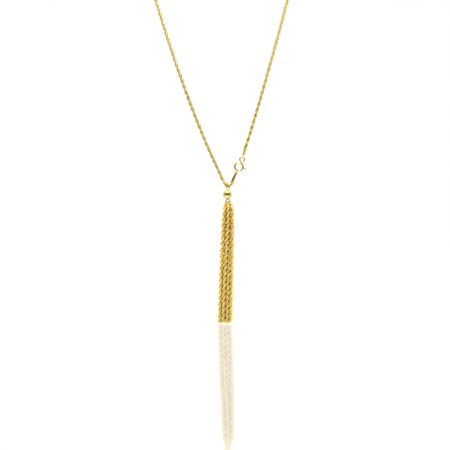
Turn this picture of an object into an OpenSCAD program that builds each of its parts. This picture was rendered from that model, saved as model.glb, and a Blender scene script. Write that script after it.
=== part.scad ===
// Gold necklace: a rope chain that passes through the ring of a polished bead and closes at the front
// in a spring ring clasp. Eight lengths of the same rope hang from the bead as a tassel.
// The loop hangs from the origin at the nape, +Z up and +X to the wearer's left.

/* [Rope chain] */
// Outside diameter of the rope
chain_d = 1.9; // [1.4:0.1:1.9]
// Diameter of a rope end where it is pressed into a cap
chain_end_d = 1.64; // [1.2:0.02:1.7]
// Longest step between two rings of the swept rope
ring_step = 7.6; // [6:0.2:12]

/* [Bead] */
// Diameter of the bead
bead_d = 5.2; // [4.8:0.1:5.4]
// Wire of the two rings that are soldered to the bead
bead_wire_d = 0.6; // [0.5:0.05:0.6]
// Mean radius of the upper ring, which the chain passes through
bail_r = 1.75; // [1.6:0.05:1.9]
// Turn of the upper ring from edge-on, in degrees
bail_turn = 30; // [0:5:45]
// Mean radius of the lower ring, which carries the tassel
tassel_ring_r = 1; // [1:0.05:1.2]

/* [Tassel] */
// From the centre of the lower ring to the ends of the strands
tassel_drop = 70.8; // [60:0.1:74]
// Distance from the front row of strands to the middle row, at the top
row_depth = 1.75; // [1.7:0.05:2]
// Wire of the end link that holds each strand on the ring
end_link_wire_d = 0.18; // [0.14:0.02:0.18]

/* [Spring ring clasp] */
// Outside diameter of the clasp
clasp_d = 6; // [5.8:0.1:6.4]
// Diameter of the hollow ring's tube
clasp_tube_d = 1.16; // [1.08:0.02:1.18]
// Wall of the hollow tube
clasp_wall = 0.11; // [0.08:0.01:0.12]
// Diameter of the sliding bolt
bolt_d = 0.76; // [0.66:0.02:0.76]
// Mean radius of the soldered eyelet
eyelet_r = 1.4; // [1.35:0.05:1.5]
// Wire of the soldered eyelet
eyelet_wire_d = 0.72; // [0.6:0.02:0.72]

/* [End caps] */
// From the centre of a cap's eye to its mouth
cap_l = 6; // [5.6:0.1:6.2]
// Diameter at the neck
cap_neck_d = 1.3; // [1:0.02:1.4]
// Diameter at the mouth
cap_mouth_d = 2.1; // [2:0.02:2.2]
// Depth of the cup that holds the rope's end
cup_depth = 1.6; // [1.4:0.1:2]
// Mean radius of the upper cap's eye
eye_r = 0.85; // [0.85:0.01:0.95]
// Mean radius of the lower cap's eye, which the clasp hooks into
hook_eye_r = 1.02; // [1.02:0.01:1.1]
// Wire of the eyes
eye_wire_d = 0.6; // [0.5:0.02:0.6]

/* [Hidden] */
// Clearance between pieces that hang in one another
hang_gap = 0.1;
// Clearance between the bend of the chain and the ring's wire that rides in it
bend_gap = 0.15;
// Clearance between a rope's end and the wall of the cup that it is seated in
seat_gap = 0.07;
// Overlap of soldered pieces, and of the small eyes that are soldered to the clasp and the caps
solder = 0.2;
eye_solder = 0.13;
// Bevel round a cap's neck
cap_bevel = 0.15;
tube_sides = 8;
wire_sides = 6;
fine = 64;

// The pendant hangs below its ring's top wire, which rides in the bend of the chain.
bail_top = [4, -150, -198.85];
bail_c = bail_top - [0, 0, bail_r];
// The rings are soldered a little to one side of the bead's middle.
bead_shift = [-0.3, 0, 0];
bead_c = bail_c + bead_shift - [0, 0, bail_r + bead_wire_d / 2 - solder + bead_d / 2];
tassel_ring_c = bead_c - bead_shift - [0, 0, bead_d / 2 - solder + bead_wire_d / 2 + tassel_ring_r];

// Clasp: angles are turned from +X towards +Z, about the centre of the ring.
clasp_c = [10.4, -149.2, -189];
clasp_r = (clasp_d - clasp_tube_d) / 2;
bore_r = clasp_tube_d / 2 - clasp_wall;
gate_from = -84;
gate_to = -25;
collar_span = 8;
collar_d = 1.36;
trigger_at = -19;
trigger_slot_to = 42;
trigger_slot_w = 0.54;
// The slot's cut starts inside the bore and passes out through the wall.
slot_inside = 0.1;
slot_depth = 0.5;
trigger_shank_d = 0.4;
trigger_d = 0.7;
trigger_reach = 4.3;
trigger_flare = 0.06;
trigger_bevel = 0.1;
// How far the shank stands clear of the tube before the trigger widens
shank_clear = 0.1;
bolt_tip_at = -87;
bolt_tail_at = -8;
eyelet_at = 66;
eyelet_out = clasp_r + clasp_tube_d / 2 + eyelet_r + eyelet_wire_d / 2 - eye_solder;
hook_at = -111;

// Caps: each hangs in tension, so its eye bears on what it is hooked to.
hook_c = clasp_c + clasp_r * [cos(hook_at), 0, sin(hook_at)];
cap_lower_dir = unit([-2.55, 0.45, -5.15]);
eye_lower_c = hook_c + (hook_eye_r - eye_wire_d / 2 - clasp_tube_d / 2 - hang_gap) * cap_lower_dir;
cap_upper_dir = unit([1.55, 0.15, 5.75]);
eyelet_c = clasp_c + eyelet_out * [cos(eyelet_at), 0, sin(eyelet_at)];
eyelet_top = eyelet_c + eyelet_r * unit([cap_upper_dir.x, 0, cap_upper_dir.z]);
eye_upper_c = eyelet_top + (eye_r - eye_wire_d / 2 - eyelet_wire_d / 2 - hang_gap) * cap_upper_dir;

// Route of the rope on the wearer's right, from the nape over the shoulder to the bead
left_run = [
    [-0.05, 0, 0], [-20, -2, -1], [-37, -9, -4.5], [-49.5, -22, -10.5], [-56, -40, -19.5],
    [-57, -60, -31.5], [-53, -81, -47], [-46.4, -100.5, -65.5], [-39.2, -119, -88],
    [-32.4, -131.5, -110], [-25.1, -141, -132], [-17.1, -146.6, -154], [-11.4, -148.7, -168.5],
    [-5.4, -149.8, -182.5], [-0.5, -150, -193.2], [1.2, -150.1, -196.9]
];
// Route of the rope on the wearer's left, from the nape to the upper cap
right_run = [
    [0.05, 0, 0], [20, -2, -1], [37, -9, -4.5], [49.5, -22, -10.5], [56, -40, -19.5],
    [57, -60, -31.5], [53.1, -81, -47], [46.8, -100.5, -65.5], [39.8, -119, -88],
    [33.9, -131.5, -110], [27.8, -141, -132], [21.5, -146.6, -154], [17.15, -148.7, -168.5]
];
// The rope bends round the top wire of the bead's ring, then runs up to the lower cap.
bend_r = chain_d / 2 + bead_wire_d / 2 + bend_gap;
bend_across = [cos(bail_turn), sin(bail_turn), 0];
bend_run = [
    for (turn = [-60:20:40])
        bail_top + bend_r * (sin(turn) * bend_across - [0, 0, cos(turn)])
];
bend_end = [[5.75, -149.2, -199.5], [6.4, -148.85, -198.6]];
// Distances from a cap's mouth, out along the rope, and the rope's diameter there
cap_steps = [[0.9, chain_d], [0.1, 0.9 * chain_d], [-0.4, chain_end_d], [-1.3, chain_end_d]];

// Strands: places are given below the centre of the lower ring and across from it.
// drop, shift of the bundle, half of its width between the outer strands' centres
bundle_rows = [
    [2.9, 0.2, 2],
    [6.4, 0.05, 2.5],
    [13.4, 0.02, 2.66],
    [23.8, -0.3, 2.96],
    [37.7, -0.8, 3.1],
    [48.2, -1.12, 3.22],
    [62.1, -1.45, 3.26],
    [70.8, -1.7, 3.2]
];
// angle on the ring, swing of the end link to the back, place across and row at the top,
// place across and depth at the bottom
strand_rows = [
    [-90, -40, -1, -1, -1, -1.05],
    [-62, 48, -1, 1, -0.85, 0.98],
    [-37, 0, -0.5, 0, -0.15, 0.95],
    [-12, -48, 0, -1, -0.333, -1.25],
    [12, 48, 0, 1, 0.5, 2.25],
    [37, 0, 0.5, 0, 0.333, -0.9],
    [62, -48, 1, -1, 1, -1.05],
    [90, 40, 1, 1, 1.02, 1.05]
];
// Part of a strand's angle on the ring by which its end link leans
link_lean = 0.78;
link_long = 0.66;
link_wide = 0.57;
link_hang = 0.17;
link_steps = 16;
neck_d = 0.76;
neck_drop = 4;
// How quickly a strand's neck spreads across and front to back
neck_flare = [1.6, 1.8];
neck_steps = [0, 0.4, 0.75, 1];
// The rows at the top change over to the rows at the bottom between these drops.
change_from = 10;
change_to = 50;
strand_steps = [12, 22, 32, 42, 54, tassel_drop];

function unit(v) = v / norm(v);
function mix(a, b, t) = a + (b - a) * t;
function ease(t) = let (s = min(max(t, 0), 1)) s * s * (3 - 2 * s);

// Direction of a route at point i: each neighbour counts more the nearer it is.
function heading(p, i, first, last) =
    i == 0 ? first :
    i == len(p) - 1 ? last :
    let (back = p[i] - p[i - 1], on = p[i + 1] - p[i])
    unit(unit(back) * norm(on) + unit(on) * norm(back));

// A smooth step from point i to point i + 1
function between(p, i, t, first, last) =
    let (l = norm(p[i + 1] - p[i]), u = t * t, v = t * t * t)
    (2 * v - 3 * u + 1) * p[i] + (v - 2 * u + t) * l * heading(p, i, first, last)
    + (3 * u - 2 * v) * p[i + 1] + (v - u) * l * heading(p, i + 1, first, last);

// The whole curve through p, with a point at least every step
function smooth_route(p, step, first, last) = [
    for (i = [0:len(p) - 2])
        let (n = ceil(norm(p[i + 1] - p[i]) / step))
        for (k = [0:n - 1]) between(p, i, k / n, first, last),
    p[len(p) - 1]
];

// One vector square to the route at each of its points, carried along without twist
function tangent(p, i) = unit(p[min(i + 1, len(p) - 1)] - p[max(i - 1, 0)]);
function square_to(u, t) = unit(u - (u * t) * t);
function side_vectors(p, u0) = [
    for (i = 0, u = square_to(u0, tangent(p, 0));
         i < len(p);
         i = i + 1, u = square_to(u, tangent(p, min(i, len(p) - 1)))) u
];

// The vertices of one ring of a swept tube
function ring_points(c, u, v, r, sides) = [
    for (k = [0:sides - 1]) c + r * (cos(360 * k / sides) * u + sin(360 * k / sides) * v)
];

// Two triangles for each side between ring a and ring b
function band(a, b, sides) = [
    for (k = [0:sides - 1])
        let (n = (k + 1) % sides)
        each [[a * sides + k, a * sides + n, b * sides + k], [a * sides + n, b * sides + n, b * sides + k]]
];

// A tube with flat ends swept along the points of p, with a radius for each point
module swept_tube(p, radii, sides, u0) {
    u = side_vectors(p, u0);
    last = (len(p) - 1) * sides;
    points = [
        for (i = [0:len(p) - 1])
            each ring_points(p[i], u[i], cross(tangent(p, i), u[i]), radii[i], sides)
    ];
    walls = [for (i = [0:len(p) - 2]) each band(i, i + 1, sides)];
    start = [for (k = [1:sides - 2]) [0, k + 1, k]];
    end = [for (k = [1:sides - 2]) [last, last + k, last + k + 1]];
    polyhedron(points, [for (f = concat(walls, start, end)) [f[2], f[1], f[0]]]);
}

// A closed ring of wire: an ellipse with half axes a along u and b along v
module wire_loop(c, u, v, a, b, r, steps, sides) {
    w = cross(u, v);
    points = [
        for (i = [0:steps - 1])
            let (s = 360 * i / steps, out = unit(cos(s) / a * u + sin(s) / b * v))
            each ring_points(c + a * cos(s) * u + b * sin(s) * v, out, w, r, sides)
    ];
    polyhedron(points, [for (i = [0:steps - 1]) each band(i, (i + 1) % steps, sides)]);
}

// Places its children with +Z along dir and their XY plane square to it, Y kept near the row's Y.
module aim(at, dir) {
    x = unit(cross([0, 1, 0], dir));
    y = cross(dir, x);
    multmatrix([
        [x.x, y.x, dir.x, at.x],
        [x.y, y.y, dir.y, at.y],
        [x.z, y.z, dir.z, at.z],
        [0, 0, 0, 1]
    ]) children();
}

module torus(r, wire_d) {
    rotate_extrude($fn = fine) translate([r, 0]) circle(d = wire_d, $fn = fine);
}

// Part of a ring of round wire, from one angle to another
module wire_arc(r, wire_d, from, to) {
    rotate([0, 0, from])
        rotate_extrude(angle = to - from, $fn = fine) translate([r, 0]) circle(d = wire_d, $fn = fine);
}

// The rope's last points, from outside a cap's mouth to its end in the cup
function cap_run(mouth, dir) = [for (s = cap_steps) mouth + s[0] * dir];

// The rope on one side: its route, then a smaller diameter in the cap's mouth
module rope(points, mouth, dir, first) {
    run = smooth_route(points, ring_step, first, unit(mouth + cap_steps[0][0] * dir - points[len(points) - 1]));
    p = concat(run, cap_run(mouth, dir));
    d = concat([for (q = run) chain_d], [for (s = cap_steps) s[1]]);
    color("goldenrod") swept_tube(p, d / 2, tube_sides, [0, 0, 1]);
}

module chain_left() {
    rope(concat(left_run, bend_run, bend_end), eye_lower_c + cap_l * cap_lower_dir, cap_lower_dir, [-1, 0, 0]);
}

module chain_right() {
    rope(right_run, eye_upper_c + cap_l * cap_upper_dir, cap_upper_dir, [1, 0, 0]);
}

// A tapered cap with a cup for the rope's end and a soldered eye of mean radius r
module end_cap(eye_at, dir, r) {
    neck_at = r - eye_wire_d / 2 + eye_solder;
    cup_r = chain_end_d / 2 + seat_gap;
    color("gold") aim(eye_at, dir) {
        rotate([0, 90, 0]) torus(r, eye_wire_d);
        rotate_extrude($fn = fine) polygon([
            [0, neck_at], [cap_neck_d / 2 - cap_bevel, neck_at], [cap_neck_d / 2, neck_at + cap_bevel],
            [cap_mouth_d / 2, cap_l], [cup_r, cap_l], [cup_r, cap_l - cup_depth], [0, cap_l - cup_depth]
        ]);
    }
}

module end_cap_upper() {
    end_cap(eye_upper_c, cap_upper_dir, eye_r);
}

module end_cap_lower() {
    end_cap(eye_lower_c, cap_lower_dir, hook_eye_r);
}

// The hollow ring, open at the gate, with its collar, trigger slot and eyelet
module spring_ring() {
    color("gold") translate(clasp_c) rotate([90, 0, 0]) difference() {
        union() {
            wire_arc(clasp_r, clasp_tube_d, gate_to, gate_from + 360);
            wire_arc(clasp_r, collar_d, gate_from - collar_span, gate_from);
            translate(eyelet_out * [cos(eyelet_at), sin(eyelet_at), 0]) torus(eyelet_r, eyelet_wire_d);
        }
        wire_arc(clasp_r, 2 * bore_r, gate_to - 1, gate_from + 361);
        rotate([0, 0, gate_to - 1])
            rotate_extrude(angle = trigger_slot_to - gate_to + 1, $fn = fine)
                translate([clasp_r + bore_r - slot_inside, -trigger_slot_w / 2])
                    square([slot_depth, trigger_slot_w]);
    }
}

// The sliding bolt that closes the gate, with its trigger
module clasp_bolt() {
    shank_l = clasp_tube_d / 2 + shank_clear;
    reach = trigger_reach - clasp_r;
    color("gold") translate(clasp_c) rotate([90, 0, 0]) {
        wire_arc(clasp_r, bolt_d, bolt_tip_at, bolt_tail_at);
        rotate([0, 0, trigger_at]) translate([clasp_r, 0, 0]) rotate([0, 90, 0])
            rotate_extrude($fn = fine) polygon([
                [0, 0], [trigger_shank_d / 2, 0], [trigger_shank_d / 2, shank_l],
                [trigger_d / 2, shank_l + trigger_flare], [trigger_d / 2, reach - trigger_bevel],
                [trigger_d / 2 - trigger_bevel, reach], [0, reach]
            ]);
    }
}

// The polished bead with both of its soldered rings
module bead() {
    color("gold") {
        translate(bead_c) sphere(d = bead_d, $fn = fine);
        translate(bail_c) rotate([0, 0, bail_turn]) rotate([0, 90, 0]) torus(bail_r, bead_wire_d);
        translate(tassel_ring_c) rotate([90, 0, 0]) torus(tassel_ring_r, bead_wire_d);
    }
}

// Down and outwards from the ring at a given angle
function ring_out(angle) = [sin(angle), 0, -cos(angle)];
function on_ring(row) = tassel_ring_c + tassel_ring_r * ring_out(row[0]);

// Directions of an end link: along it, away from the ring, and across it
function link_way(row) = cos(row[1]) * ring_out(link_lean * row[0]) + [0, sin(row[1]), 0];
function link_across(row) = [0, cos(row[1]), 0] - sin(row[1]) * ring_out(link_lean * row[0]);

// Centre of a strand in the bundle at a given drop
function bundle_place(row, drop) =
    let (
        shift = lookup(drop, [for (b = bundle_rows) [b[0], b[1]]]),
        half = lookup(drop, [for (b = bundle_rows) [b[0], b[2]]]),
        change = ease((drop - change_from) / (change_to - change_from))
    )
    tassel_ring_c + [
        shift + half * mix(row[2], row[4], change),
        mix(row_depth * row[3], row[5], change),
        -drop
    ];

// A strand spreads from its end link into its place in the bundle.
function neck_place(row, t) =
    let (
        top = on_ring(row) + (link_hang + link_long) * link_way(row),
        foot = bundle_place(row, neck_drop)
    )
    [
        mix(top.x, foot.x, 1 - pow(1 - t, neck_flare.x)),
        mix(top.y, foot.y, 1 - pow(1 - t, neck_flare.y)),
        mix(top.z, foot.z, t)
    ];

// One rope of the tassel with its soldered end link round the bead's lower ring
module tassel_strand(row) {
    p = concat(
        [for (t = neck_steps) neck_place(row, t)],
        [for (drop = strand_steps) bundle_place(row, drop)]
    );
    d = concat(
        [for (t = neck_steps) mix(neck_d, chain_d, ease(t))],
        [for (drop = strand_steps) chain_d]
    );
    way = link_way(row);
    color("goldenrod") {
        swept_tube(p, d / 2, tube_sides, [1, 0, 0]);
        wire_loop(
            on_ring(row) + link_hang * way, way, link_across(row),
            link_long, link_wide, end_link_wire_d / 2, link_steps, wire_sides
        );
    }
}

chain_left();
chain_right();
end_cap_upper();
end_cap_lower();
spring_ring();
clasp_bolt();
bead();
tassel_strand(strand_rows[0]);  // tassel_strand_1
tassel_strand(strand_rows[1]);  // tassel_strand_2
tassel_strand(strand_rows[2]);  // tassel_strand_3
tassel_strand(strand_rows[3]);  // tassel_strand_4
tassel_strand(strand_rows[4]);  // tassel_strand_5
tassel_strand(strand_rows[5]);  // tassel_strand_6
tassel_strand(strand_rows[6]);  // tassel_strand_7
tassel_strand(strand_rows[7]);  // tassel_strand_8
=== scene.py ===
from collections import namedtuple
import math

import bpy
import numpy as np
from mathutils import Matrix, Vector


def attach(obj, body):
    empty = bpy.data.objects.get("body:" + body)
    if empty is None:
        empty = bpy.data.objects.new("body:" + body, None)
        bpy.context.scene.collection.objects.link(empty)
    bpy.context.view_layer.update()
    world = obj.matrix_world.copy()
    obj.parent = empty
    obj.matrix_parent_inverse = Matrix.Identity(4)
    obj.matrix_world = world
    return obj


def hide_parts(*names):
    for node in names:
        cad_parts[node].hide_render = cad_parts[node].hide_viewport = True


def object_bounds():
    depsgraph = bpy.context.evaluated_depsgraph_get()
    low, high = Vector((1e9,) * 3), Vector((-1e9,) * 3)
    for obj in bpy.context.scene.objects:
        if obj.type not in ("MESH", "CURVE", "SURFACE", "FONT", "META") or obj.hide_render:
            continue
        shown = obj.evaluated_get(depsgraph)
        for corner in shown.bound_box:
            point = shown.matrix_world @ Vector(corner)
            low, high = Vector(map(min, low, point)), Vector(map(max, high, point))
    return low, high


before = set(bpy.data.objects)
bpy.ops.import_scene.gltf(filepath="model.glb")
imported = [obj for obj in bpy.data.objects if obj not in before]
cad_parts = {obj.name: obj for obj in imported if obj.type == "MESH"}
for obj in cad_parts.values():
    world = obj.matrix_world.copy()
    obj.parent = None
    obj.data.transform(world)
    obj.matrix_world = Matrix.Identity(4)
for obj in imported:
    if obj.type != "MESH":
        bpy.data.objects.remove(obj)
cad_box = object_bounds()

# The photographer's view: the camera stands a metre in front of the pendant, level with the
# middle of the tassel, and looks straight back with a long lens.
MM = 0.001
pendant_y = -0.15
view_distance = 1.0
view_axis_x = 2.32 * MM
view_axis_z = -222.8 * MM
picture_width = 0.261
sensor_width = 36
nearest_seen = 0.05
farthest_seen = 50

camera_data = bpy.data.cameras.new("front_camera")
camera_data.sensor_width = sensor_width
camera_data.lens = sensor_width * view_distance / picture_width
camera_data.clip_start = nearest_seen
camera_data.clip_end = farthest_seen
camera = bpy.data.objects.new("front_camera", camera_data)
camera.location = (view_axis_x, pendant_y - view_distance, view_axis_z)
camera.rotation_euler = (math.radians(90), 0, 0)
bpy.context.scene.collection.objects.link(camera)
bpy.context.scene.camera = camera

# Rope on the wearer's right: small rings of round gold wire, each passed through its neighbours
# and turned on a little from the last, so that two rows of rings wind round each other.
# It runs from the nape, down the front, through the bead's ring and into the lower cap.
rope_d = 2.25 * MM
link_wire_d = 0.36 * MM
link_long = rope_d / 4
link_wide = 0.44 * MM
link_step = 0.19 * MM
link_tilt = math.radians(33)
rope_lay = 7.3 * MM
chain_d = 1.9 * MM
link_sides = 10
link_wire_sides = 5
route_step = 0.4 * MM
side_at_nape = np.array([1.0, 0.0, 0.1])

bead_ring_top = np.array([4, -150, -198.85]) * MM
bead_ring_turn = math.radians(30)
bead_wire_d = 0.6 * MM
rope_rest_gap = 0.15 * MM
bend_from = -60
bend_to = 40
bend_step = 20

lower_cap_mouth = np.array([6.861, -148.728, -196.656]) * MM
lower_cap_way = np.array([-2.55, 0.45, -5.15])
rope_in_cup = 1.3 * MM
straight_to_cup = 0.9 * MM
rope_at_lip_d = 1.98 * MM
pressed_inside = 0.4 * MM
rope_end_d = 1.64 * MM
left_start_turn = 0.4

right_shoulder_run = np.array([
    [-0.05, 0, 0], [-20, -2, -1], [-37, -9, -4.5], [-49.5, -22, -10.5], [-56, -40, -19.5],
    [-57, -60, -31.5], [-53, -81, -47], [-46.4, -100.5, -65.5], [-39.2, -119, -88],
    [-32.4, -131.5, -110], [-25.1, -141, -132], [-17.1, -146.6, -154], [-11.4, -148.7, -168.5],
    [-5.4, -149.8, -182.5], [-0.5, -150, -193.2], [1.2, -150.1, -196.9],
]) * MM
rise_to_cap = np.array([[5.75, -149.2, -199.5], [6.4, -148.85, -198.6]]) * MM


def unit(v):
    return v / np.linalg.norm(v, axis=-1, keepdims=True)


def hanging_curve(points, first_way, last_way):
    """The line a rope takes through the points, as places close together."""
    span = np.diff(points, axis=0)
    length = np.linalg.norm(span, axis=1, keepdims=True)
    inner = unit(unit(span[:-1]) * length[1:] + unit(span[1:]) * length[:-1])
    way = np.vstack([unit(np.array(first_way, float)), inner, unit(np.array(last_way, float))])
    places = []
    for i, stretch in enumerate(length[:, 0]):
        count = math.ceil(stretch / route_step)
        t = np.arange(count)[:, None] / count
        places.append(
            (2 * t**3 - 3 * t**2 + 1) * points[i] + (t**3 - 2 * t**2 + t) * stretch * way[i]
            + (3 * t**2 - 2 * t**3) * points[i + 1] + (t**3 - t**2) * stretch * way[i + 1]
        )
    return np.vstack([*places, points[-1:]])


def run_along(places):
    """Distance of each place along its curve."""
    return np.concatenate([[0], np.cumsum(np.linalg.norm(np.diff(places, axis=0), axis=1))])


def along_rope(places, at):
    """Centres along a curve, the way the rope runs there and a side square to it."""
    run = run_along(places)

    def centre_at(distance):
        return np.stack([np.interp(distance, run, places[:, k]) for k in range(3)], axis=1)

    way = unit(centre_at(at + link_step) - centre_at(at - link_step))
    side = np.zeros_like(way)
    carried = side_at_nape
    for i, w in enumerate(way):
        carried = unit(carried - (carried @ w) * w)
        side[i] = carried
    return centre_at(at), way, side


def wire_loops(centre, out, across, long, wide, wire_r, loop_sides, wire_sides):
    """Closed loops of round wire: ellipses with half axes long along out and wide along across."""
    turn = 2 * np.pi * np.arange(loop_sides) / loop_sides
    roll = 2 * np.pi * np.arange(wire_sides) / wire_sides
    cos, sin = np.cos(turn)[None, :, None], np.sin(turn)[None, :, None]
    out, across = out[:, None, :], across[:, None, :]
    long, wide, wire_r = long[:, None, None], wide[:, None, None], wire_r[:, None, None, None]
    core = centre[:, None, :] + long * cos * out + wide * sin * across
    outward = unit(cos / long * out + sin / wide * across)
    axle = np.cross(out, across)
    verts = core[:, :, None, :] + wire_r * (
        np.cos(roll)[None, None, :, None] * outward[:, :, None, :]
        + np.sin(roll)[None, None, :, None] * axle[:, :, None, :]
    )
    base = (np.arange(len(centre)) * loop_sides * wire_sides)[:, None, None]
    i = np.arange(loop_sides)[None, :, None]
    k = np.arange(wire_sides)[None, None, :]
    i_next, k_next = (i + 1) % loop_sides, (k + 1) % wire_sides
    faces = np.stack([
        base + i * wire_sides + k, base + i_next * wire_sides + k,
        base + i_next * wire_sides + k_next, base + i * wire_sides + k_next,
    ], axis=-1)
    return verts.reshape(len(centre), -1, 3), faces.reshape(-1, 4)


def row_ways(at, way, side, lay, start_turn):
    """The way from a rope's line out to its first row of links, and the way square to it."""
    lay_turn = start_turn + 2 * np.pi * at / lay
    out = np.cos(lay_turn)[:, None] * side + np.sin(lay_turn)[:, None] * np.cross(way, side)
    return out, np.cross(way, out)


def rope_links(at, centre, way, side, width, wide, lay, start_turn):
    """The links of a rope: even ones on one side of its line, odd ones on the other."""
    row = np.where(np.arange(len(at)) % 2 == 0, 1.0, -1.0)[:, None]
    out, on = (row * ways for ways in row_ways(at, way, side, lay, start_turn))
    across = unit(math.cos(link_tilt) * on - math.sin(link_tilt) * way)
    scale = width / rope_d
    wire_r = scale * link_wire_d / 2
    long = scale * link_long
    shift = width / 2 - wire_r - long
    verts, faces = wire_loops(
        centre + shift[:, None] * out, out, across, long, scale * wide, wire_r,
        link_sides, link_wire_sides,
    )
    from_line = verts - centre[:, None]
    from_line -= np.sum(from_line * way[:, None], axis=2, keepdims=True) * way[:, None]
    depth = 1 - np.linalg.norm(from_line, axis=2) / (width / 2)[:, None]
    return verts, np.clip(depth, 0, 1), faces


def joined_piece(name, parts):
    """One mesh piece from several sets of points, their depths in the piece (read by the gold for
    its painted shade) and their faces.
    """
    mesh = bpy.data.meshes.new(name)
    verts, faces, depths, count = [], [], [], 0
    for points, depth, *face_sets in parts:
        verts.append(points.reshape(-1, 3))
        for face_set in face_sets:
            faces.extend((face_set + count).tolist())
        depths.append(np.ravel(depth))
        count += len(verts[-1])
    mesh.from_pydata(np.vstack(verts).tolist(), [], faces)
    mesh.polygons.foreach_set("use_smooth", [True] * len(mesh.polygons))
    # Each point's depth in its rope, which the gold reads for its painted shade in the grooves.
    painted_shade_depth = mesh.attributes.new("painted_shade_depth", "FLOAT", "POINT")
    painted_shade_depth.data.foreach_set("value", np.concatenate(depths))
    mesh.update()
    piece = bpy.data.objects.new(name, mesh)
    bpy.context.scene.collection.objects.link(piece)
    return piece


def rope_piece(name, run, mouth, way_out, first_way, start_turn):
    """A rope from the nape to where it is pressed into a cap."""
    out = unit(way_out)
    straight_from = mouth + straight_to_cup * out
    places = hanging_curve(run, first_way, straight_from - run[-1])
    places = np.vstack([places, straight_from, mouth - rope_in_cup * out])
    total = run_along(places)[-1]
    at = np.arange(link_long, total, link_step)
    to_mouth = total - rope_in_cup - at
    width = np.interp(
        to_mouth, [-pressed_inside, 0, straight_to_cup], [rope_end_d, rope_at_lip_d, rope_d]
    )
    return joined_piece(name, [
        rope_links(at, *along_rope(places, at), width, link_wide, rope_lay, start_turn)
    ])


# A mix node's first and second input and its result, by their numbers for each kind of data.
MIX_SOCKETS = {"FLOAT": (2, 3, 0), "RGBA": (6, 7, 2)}


def mixed(tree, kind, factor, first, second):
    """Two values or colours mixed by a factor, each of them a socket or fixed."""
    mix = tree.nodes.new("ShaderNodeMix")
    mix.data_type = kind
    first_number, second_number, result_number = MIX_SOCKETS[kind]
    tree.links.new(factor, mix.inputs["Factor"])
    for number, given in ((first_number, first), (second_number, second)):
        if isinstance(given, bpy.types.NodeSocket):
            tree.links.new(given, mix.inputs[number])
        else:
            mix.inputs[number].default_value = given
    return mix.outputs[result_number]


def worn_gold_and_painted_shade_group():
    """Worn gold: colour and polish that change a little from place to place, painted shade that
    darkens the grooves between the links, and fine wiping marks."""
    patch_detail, patch_from, patch_to = 4, 0.35, 0.7
    mark_detail = 2
    group = bpy.data.node_groups.new("worn_gold_and_painted_shade", "ShaderNodeTree")
    for label, kind, value in (
        ("Clean Colour", "NodeSocketColor", (0.87, 0.64, 0.25, 1)),
        ("Dull Colour", "NodeSocketColor", (0.75, 0.5, 0.16, 1)),
        ("Patch Scale", "NodeSocketFloat", 400),
        ("Mark Scale", "NodeSocketFloat", 3000),
        ("Clean Roughness", "NodeSocketFloat", 0.12),
        ("Dull Roughness", "NodeSocketFloat", 0.26),
        ("Painted Shade Colour", "NodeSocketColor", (0.5, 0.3, 0.08, 1)),
        ("Painted Shade From", "NodeSocketFloat", 0.3),
        ("Painted Shade To", "NodeSocketFloat", 0.8),
    ):
        made = group.interface.new_socket(name=label, in_out="INPUT", socket_type=kind)
        made.default_value = value
    for label, kind in (
        ("Colour", "NodeSocketColor"),
        ("Roughness", "NodeSocketFloat"),
        ("Marks", "NodeSocketFloat"),
    ):
        group.interface.new_socket(name=label, in_out="OUTPUT", socket_type=kind)
    node, link = group.nodes.new, group.links.new
    given, out = node("NodeGroupInput"), node("NodeGroupOutput")
    place = node("ShaderNodeTexCoord")

    patches = node("ShaderNodeTexNoise")
    patches.inputs["Detail"].default_value = patch_detail
    link(place.outputs["Object"], patches.inputs["Vector"])
    link(given.outputs["Patch Scale"], patches.inputs["Scale"])
    dulled = node("ShaderNodeMapRange")
    dulled.inputs["From Min"].default_value = patch_from
    dulled.inputs["From Max"].default_value = patch_to
    link(patches.outputs["Fac"], dulled.inputs["Value"])
    tone = mixed(
        group, "RGBA", dulled.outputs["Result"],
        given.outputs["Clean Colour"], given.outputs["Dull Colour"],
    )
    roughness = mixed(
        group, "FLOAT", dulled.outputs["Result"],
        given.outputs["Clean Roughness"], given.outputs["Dull Roughness"],
    )

    # Painted shade: points that lie deep in their rope turn towards the darker shade colour.
    depth = node("ShaderNodeAttribute")
    depth.attribute_name = "painted_shade_depth"
    painted_shade_depth = node("ShaderNodeMapRange")
    link(depth.outputs["Fac"], painted_shade_depth.inputs["Value"])
    link(given.outputs["Painted Shade From"], painted_shade_depth.inputs["From Min"])
    link(given.outputs["Painted Shade To"], painted_shade_depth.inputs["From Max"])
    colour = mixed(group, "RGBA", painted_shade_depth.outputs["Result"], tone, given.outputs["Painted Shade Colour"])

    marks = node("ShaderNodeTexNoise")
    marks.inputs["Detail"].default_value = mark_detail
    link(place.outputs["Object"], marks.inputs["Vector"])
    link(given.outputs["Mark Scale"], marks.inputs["Scale"])

    link(colour, out.inputs["Colour"])
    link(roughness, out.inputs["Roughness"])
    link(marks.outputs["Fac"], out.inputs["Marks"])
    return group


worn_gold_and_painted_shade = worn_gold_and_painted_shade_group()
mark_strength = 0.3


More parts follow.
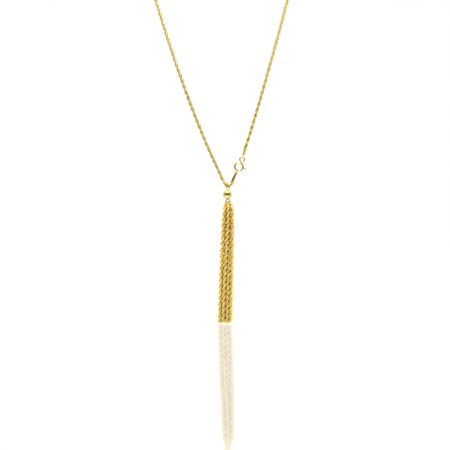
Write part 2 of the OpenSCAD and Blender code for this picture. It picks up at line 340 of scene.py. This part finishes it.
def gold_material(name, mark_depth, values):
    """A gold finish: the worn gold and painted shade group with its own values in a metal shader.
    """
    material = bpy.data.materials.new(name)
    material.use_nodes = True
    tree = material.node_tree
    shader = tree.nodes["Principled BSDF"]
    shader.inputs["Metallic"].default_value = 1.0
    wear_and_painted_shade = tree.nodes.new("ShaderNodeGroup")
    wear_and_painted_shade.node_tree = worn_gold_and_painted_shade
    for label, value in values.items():
        wear_and_painted_shade.inputs[label].default_value = value
    bump = tree.nodes.new("ShaderNodeBump")
    bump.inputs["Distance"].default_value = mark_depth
    bump.inputs["Strength"].default_value = mark_strength
    tree.links.new(wear_and_painted_shade.outputs["Colour"], shader.inputs["Base Color"])
    tree.links.new(wear_and_painted_shade.outputs["Roughness"], shader.inputs["Roughness"])
    tree.links.new(wear_and_painted_shade.outputs["Marks"], bump.inputs["Height"])
    tree.links.new(bump.outputs["Normal"], shader.inputs["Normal"])
    return material


# The rope's gold is painted darker towards the middle of the rope: painted shade in the grooves
# between its links.
rope_gold = gold_material("rope_gold", 0.004 * MM, {
    "Clean Colour": (0.7, 0.57, 0.22, 1), "Dull Colour": (0.66, 0.53, 0.19, 1),
    "Painted Shade Colour": (0.54, 0.41, 0.135, 1), "Painted Shade From": 0.4, "Painted Shade To": 0.8,
    "Patch Scale": 500, "Mark Scale": 4000, "Clean Roughness": 0.45, "Dull Roughness": 0.55,
})

bend_r = chain_d / 2 + bead_wire_d / 2 + rope_rest_gap
bend_across = np.array([math.cos(bead_ring_turn), math.sin(bead_ring_turn), 0])
bend_under_ring = np.array([
    bead_ring_top + bend_r * (math.sin(a) * bend_across - np.array([0, 0, math.cos(a)]))
    for a in np.radians(np.arange(bend_from, bend_to + 1, bend_step))
])
chain_left = rope_piece(
    "rope_chain_left", np.vstack([right_shoulder_run, bend_under_ring, rise_to_cap]),
    lower_cap_mouth, lower_cap_way, (-1, 0, 0), left_start_turn,
)
chain_left.data.materials.append(rope_gold)
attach(chain_left, "necklace")
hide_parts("chain_left")

# Rope on the wearer's left: the same links of the same gold, from the nape down to the mouth of
# the upper cap, where its end is pressed in and soldered.
upper_cap_mouth = np.array([14.232, -149.047, -177.54]) * MM
upper_cap_way = np.array([1.55, 0.15, 5.75])
right_start_turn = 1.5
left_shoulder_run = np.array([
    [0.05, 0, 0], [20, -2, -1], [37, -9, -4.5], [49.5, -22, -10.5], [56, -40, -19.5],
    [57, -60, -31.5], [53.1, -81, -47], [46.8, -100.5, -65.5], [39.8, -119, -88],
    [33.9, -131.5, -110], [27.8, -141, -132], [21.5, -146.6, -154], [17.15, -148.7, -168.5],
]) * MM

chain_right = rope_piece(
    "rope_chain_right", left_shoulder_run, upper_cap_mouth, upper_cap_way, (1, 0, 0),
    right_start_turn,
)
chain_right.data.materials.append(rope_gold)
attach(chain_right, "necklace")
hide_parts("chain_right")

# End caps: tapered gold cups, turned and drilled, with an eye of wire soldered to the narrow end.
# The upper one has worn to a satin face. The lower one is still polished, so it shows a sharp
# dark band.
satin_gold = gold_material("satin_gold", 0.002 * MM, {
    "Clean Colour": (0.84, 0.68, 0.26, 1), "Dull Colour": (0.8, 0.62, 0.22, 1),
    "Patch Scale": 300, "Mark Scale": 2500, "Clean Roughness": 0.42, "Dull Roughness": 0.5,
})
polished_gold = gold_material("polished_gold", 0.002 * MM, {
    "Clean Colour": (0.8, 0.62, 0.25, 1), "Dull Colour": (0.73, 0.54, 0.2, 1),
    "Patch Scale": 300, "Mark Scale": 2500, "Clean Roughness": 0.07, "Dull Roughness": 0.15,
})


def finish_solid(name, gold):
    """A turned or bent piece keeps its form and gets its gold."""
    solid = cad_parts[name]
    solid.data.materials.clear()
    solid.data.materials.append(gold)


finish_solid("end_cap_upper", satin_gold)
finish_solid("end_cap_lower", polished_gold)

# Spring ring clasp: a ring bent from gold tube with a small eye soldered on, and the bolt that
# slides round inside it. The ring is rubbed by its links. The bolt is rougher and coloured a much
# darker gold than the rest.
rubbed_gold = gold_material("rubbed_gold", 0.002 * MM, {
    "Clean Colour": (0.78, 0.61, 0.25, 1), "Dull Colour": (0.74, 0.55, 0.2, 1),
    "Patch Scale": 300, "Mark Scale": 2500, "Clean Roughness": 0.26, "Dull Roughness": 0.36,
})
dark_bolt_gold = gold_material("dark_bolt_gold", 0.002 * MM, {
    "Clean Colour": (0.42, 0.34, 0.15, 1), "Dull Colour": (0.38, 0.3, 0.12, 1),
    "Patch Scale": 300, "Mark Scale": 2500, "Clean Roughness": 0.4, "Dull Roughness": 0.5,
})
finish_solid("spring_ring", rubbed_gold)
finish_solid("clasp_bolt", dark_bolt_gold)

# Bead: a hollow gold ball, polished like a mirror, with a wire ring soldered above it for the
# rope and one below it for the tassel.
bead_gold = gold_material("bead_gold", 0.001 * MM, {
    "Clean Colour": (0.73, 0.56, 0.23, 1), "Dull Colour": (0.68, 0.5, 0.18, 1),
    "Patch Scale": 200, "Mark Scale": 2500, "Clean Roughness": 0.02, "Dull Roughness": 0.05,
})
finish_solid("bead", bead_gold)

# Tassel: eight lengths of rope, each filled with solder at its top and joined there to a small
# link that hangs on the ring below the bead. They spread into a flat bundle of three rows.
strand_d = 2.5 * MM
strand_lay = 7 * MM
strand_link_wide = 0.45 * MM
first_link_at = 0.1 * MM
last_link_up = 0.42 * MM
tassel_ring_r = 1 * MM
tassel_ring_c = np.array([4, -150, -208.75]) * MM
row_depth = 1.75 * MM

link_lean = 0.78
end_link_long = 0.66 * MM
end_link_wide = 0.57 * MM
end_link_hang = 0.17 * MM
end_link_wire_d = 0.2 * MM
end_link_sides = 16
end_link_wire_sides = 8

neck_top_d = 0.84 * MM
neck_drop = 4 * MM
neck_steps = (0, 0.4, 0.75, 1)
neck_spread_across = 1.6
neck_spread_back = 1.8

solder_run = 0.9
solder_rings = 24
solder_long = 0.4
solder_wide = 0.17
solder_sides = 12
solder_painted_shade_depth = 0.38

change_from = 10 * MM
change_to = 50 * MM
strand_steps = np.array([12, 22, 32, 42, 54, 70.8]) * MM
# drop below the ring, shift of the bundle, half of its width between the outer strands' centres
bundle_drop, bundle_shift, bundle_half = np.array([
    [2.9, 0.2, 2], [6.4, 0.05, 2.5], [13.4, 0.02, 2.66], [23.8, -0.3, 2.96],
    [37.7, -0.8, 3.1], [48.2, -1.12, 3.22], [62.1, -1.45, 3.26], [70.8, -1.7, 3.2],
]).T * MM
# angle on the ring and swing of the end link to the back, in degrees; place across and row at
# the top; place across and depth at the foot; height above the foot where a row faces the front
Strand = namedtuple("Strand", "angle swing top_across top_row foot_across foot_depth faces_at")
strands = (
    Strand(-90, -40, -1, -1, -1, -1.05, 2.15),
    Strand(-62, 48, -1, 1, -0.85, 0.98, 2.15),
    Strand(-37, 0, -0.5, 0, -0.15, 0.95, 4.94),
    Strand(-12, -48, 0, -1, -0.333, -1.25, 3.19),
    Strand(12, 48, 0, 1, 0.5, 2.25, 3.95),
    Strand(37, 0, 0.5, 0, 0.333, -0.9, 2.2),
    Strand(62, -48, 1, -1, 1, -1.05, 1.33),
    Strand(90, 40, 1, 1, 1.02, 1.05, 1.33),
)


def ease(t):
    """A change from 0 to 1 that starts and ends softly."""
    t = np.clip(t, 0, 1)
    return t * t * (3 - 2 * t)


def ring_out(angle):
    """The way out from the middle of the tassel's ring, at an angle from straight down."""
    return np.array([math.sin(math.radians(angle)), 0, -math.cos(math.radians(angle))])


def bundle_place(strand, drop):
    """Centre of a strand in the bundle at a drop below the ring."""
    shift = np.interp(drop, bundle_drop, bundle_shift)
    half = np.interp(drop, bundle_drop, bundle_half)
    change = ease((drop - change_from) / (change_to - change_from))
    across = strand.top_across + (strand.foot_across - strand.top_across) * change
    top_depth = row_depth * strand.top_row
    depth = top_depth + (strand.foot_depth * MM - top_depth) * change
    return tassel_ring_c + np.array([shift + half * across, depth, -drop])


def end_link_ways(strand):
    """Directions of an end link: along it, away from the ring, and across it."""
    out, back = ring_out(link_lean * strand.angle), np.array([0.0, 1.0, 0.0])
    swing = math.radians(strand.swing)
    hang = math.cos(swing) * out + math.sin(swing) * back
    return hang, math.cos(swing) * back - math.sin(swing) * out


def neck_place(strand, t):
    """A strand spreads from its end link into its place in the bundle."""
    top = tassel_ring_c + tassel_ring_r * ring_out(strand.angle)
    top = top + (end_link_hang + end_link_long) * end_link_ways(strand)[0]
    foot = bundle_place(strand, neck_drop)
    spread = np.array([1 - (1 - t) ** neck_spread_across, 1 - (1 - t) ** neck_spread_back, t])
    return top + (foot - top) * spread


def neck_width(t):
    """Thickness of a strand between its end link, at 0, and the foot of its neck, at 1."""
    return neck_top_d + (strand_d - neck_top_d) * ease(t)


def solder_core(centre, out, on, width):
    """The solder inside a strand's top: it fills both rows of links and twists with them."""
    turn = 2 * np.pi * np.arange(solder_sides) / solder_sides
    ring = solder_long * np.cos(turn)[None, :, None] * out[:, None]
    ring = ring + solder_wide * np.sin(turn)[None, :, None] * on[:, None]
    rings = (centre[:, None] + width[:, None, None] * ring).reshape(-1, 3)
    verts = np.vstack([rings, centre[:1], centre[-1:]])
    k = np.arange(solder_sides)
    n = (k + 1) % solder_sides
    start = solder_sides * np.arange(len(centre) - 1)[:, None]
    after = start + solder_sides
    walls = np.stack([start + k, start + n, after + n, after + k], axis=-1).reshape(-1, 4)
    last = len(rings) - solder_sides
    top = np.stack([np.full_like(k, len(rings)), n, k], axis=-1)
    foot = np.stack([np.full_like(k, len(rings) + 1), last + k, last + n], axis=-1)
    return verts, walls, np.vstack([top, foot])


# The tassel's gold is a lighter copy of the rope's gold: painted light that makes up for the shade
# among the strands. Its grooves take only a little painted shade. The solder in each top counts as
# deep, so it takes most of that shade.
tassel_lightened_gold = gold_material("tassel_lightened_gold", 0.004 * MM, {
    "Clean Colour": (0.94, 0.79, 0.3, 1), "Dull Colour": (0.93, 0.75, 0.265, 1),
    "Painted Shade Colour": (0.92, 0.69, 0.245, 1), "Painted Shade From": 0.12, "Painted Shade To": 0.42,
    "Patch Scale": 500, "Mark Scale": 4000, "Clean Roughness": 0.46, "Dull Roughness": 0.54,
})
for number, strand in enumerate(strands, 1):
    points = np.array(
        [neck_place(strand, t) for t in neck_steps]
        + [bundle_place(strand, drop) for drop in strand_steps]
    )
    places = hanging_curve(points, points[1] - points[0], points[-1] - points[-2])
    total = run_along(places)[-1]
    neck_run = run_along(points[:len(neck_steps)])[-1]
    start_turn = math.pi / 2 - 2 * math.pi * (total - strand.faces_at * MM) / strand_lay

    at = [first_link_at]
    while at[-1] < total - last_link_up:
        at.append(at[-1] + link_step * neck_width(at[-1] / neck_run) / rope_d)
    at = np.array(at[:-1])
    links = rope_links(
        at, *along_rope(places, at), neck_width(at / neck_run), strand_link_wide, strand_lay,
        start_turn,
    )

    core_at = np.linspace(0, solder_run * neck_run, solder_rings)
    core_centre, core_way, core_side = along_rope(places, core_at)
    core_ways = row_ways(core_at, core_way, core_side, strand_lay, start_turn)
    core_points, *core_faces = solder_core(
        core_centre, *core_ways, neck_width(core_at / neck_run)
    )

    hang, across = end_link_ways(strand)
    end_link_c = tassel_ring_c + tassel_ring_r * ring_out(strand.angle) + end_link_hang * hang
    end_link_points, end_link_faces = wire_loops(
        end_link_c[None], hang[None], across[None], np.array([end_link_long]),
        np.array([end_link_wide]), np.array([end_link_wire_d / 2]),
        end_link_sides, end_link_wire_sides,
    )

    strand_rope = joined_piece(f"tassel_rope_{number}", [
        links,
        (end_link_points, np.zeros(end_link_points.shape[1]), end_link_faces),
        (core_points, np.full(len(core_points), solder_painted_shade_depth), *core_faces),
    ])
    strand_rope.data.materials.append(tassel_lightened_gold)
    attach(strand_rope, "pendant")
    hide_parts(f"tassel_strand_{number}")

# Floor: a glossy white sheet that lies just below the tassel. It ends short of the camera, so
# that the bead and the lower cap also mirror the dark strip that reaches down past its edge.
floor_gap = 0.3 * MM
floor_size = 4
floor_front = -0.75
floor_white = (1, 0.98, 0.92, 1)
floor_glow = 1.03
floor_shine = 0.39
floor_roughness = 0.02

bpy.ops.mesh.primitive_plane_add(
    size=floor_size, location=(0, floor_front + floor_size / 2, cad_box[0].z - floor_gap)
)
floor = bpy.context.object
floor.name = "floor"
floor_material = bpy.data.materials.new("white_floor")
floor_material.use_nodes = True
tree = floor_material.node_tree
tree.nodes.clear()
white = tree.nodes.new("ShaderNodeEmission")
white.inputs["Color"].default_value = floor_white
white.inputs["Strength"].default_value = floor_glow
shine = tree.nodes.new("ShaderNodeBsdfGlossy")
shine.inputs["Color"].default_value = (1, 1, 1, 1)
shine.inputs["Roughness"].default_value = floor_roughness
both = tree.nodes.new("ShaderNodeMixShader")
both.inputs["Fac"].default_value = floor_shine
surface = tree.nodes.new("ShaderNodeOutputMaterial")
tree.links.new(white.outputs["Emission"], both.inputs[1])
tree.links.new(shine.outputs["BSDF"], both.inputs[2])
tree.links.new(both.outputs["Shader"], surface.inputs["Surface"])
floor.data.materials.append(floor_material)

# Studio: a white room with a bright lamp overhead, and the dark strip round the photographer
# that polished gold mirrors as a band. Each edge of the strip and of the lamp is soft, from one
# height or depth of the view's direction to another.
strip_foot = (-0.3, -0.22)
strip_top = (0.48, 0.4)
strip_side = (-0.17, -0.32)
lamp_edge = (0.75, 0.95)
room_light = (1.12, 1.12, 1.1, 1)
strip_light = (0, 0, 0, 1)
lamp_light = (7.5, 7.5, 7.3, 1)
backdrop_light = (1, 1, 1, 1)

world = bpy.data.worlds.new("studio")
bpy.context.scene.world = world
world.use_nodes = True
tree = world.node_tree
tree.nodes.clear()
node, link = tree.nodes.new, tree.links.new
direction = node("ShaderNodeTexCoord")
parts = node("ShaderNodeSeparateXYZ")
link(direction.outputs["Generated"], parts.inputs["Vector"])


def soft_step(part, edge):
    """A mask that rises from 0 to 1 between the two places of a soft edge."""
    step = node("ShaderNodeMapRange")
    step.interpolation_type = "SMOOTHSTEP"
    step.inputs["From Min"].default_value, step.inputs["From Max"].default_value = edge
    link(parts.outputs[part], step.inputs["Value"])
    return step.outputs["Result"]


def both_masks(first, second):
    times = node("ShaderNodeMath")
    times.operation = "MULTIPLY"
    link(first, times.inputs[0])
    link(second, times.inputs[1])
    return times.outputs["Value"]


strip = both_masks(
    both_masks(soft_step("Z", strip_foot), soft_step("Z", strip_top)), soft_step("Y", strip_side)
)
room = mixed(tree, "RGBA", strip, room_light, strip_light)
lit_room = mixed(tree, "RGBA", soft_step("Z", lamp_edge), room, lamp_light)
rays = node("ShaderNodeLightPath")
seen = mixed(tree, "RGBA", rays.outputs["Is Camera Ray"], lit_room, backdrop_light)
sky = node("ShaderNodeBackground")
link(seen, sky.inputs["Color"])
world_out = node("ShaderNodeOutputWorld")
link(sky.outputs["Background"], world_out.inputs["Surface"])

view = bpy.context.scene.view_settings
view.view_transform = "Standard"
view.look = "None"
view.exposure = 0
view.gamma = 1
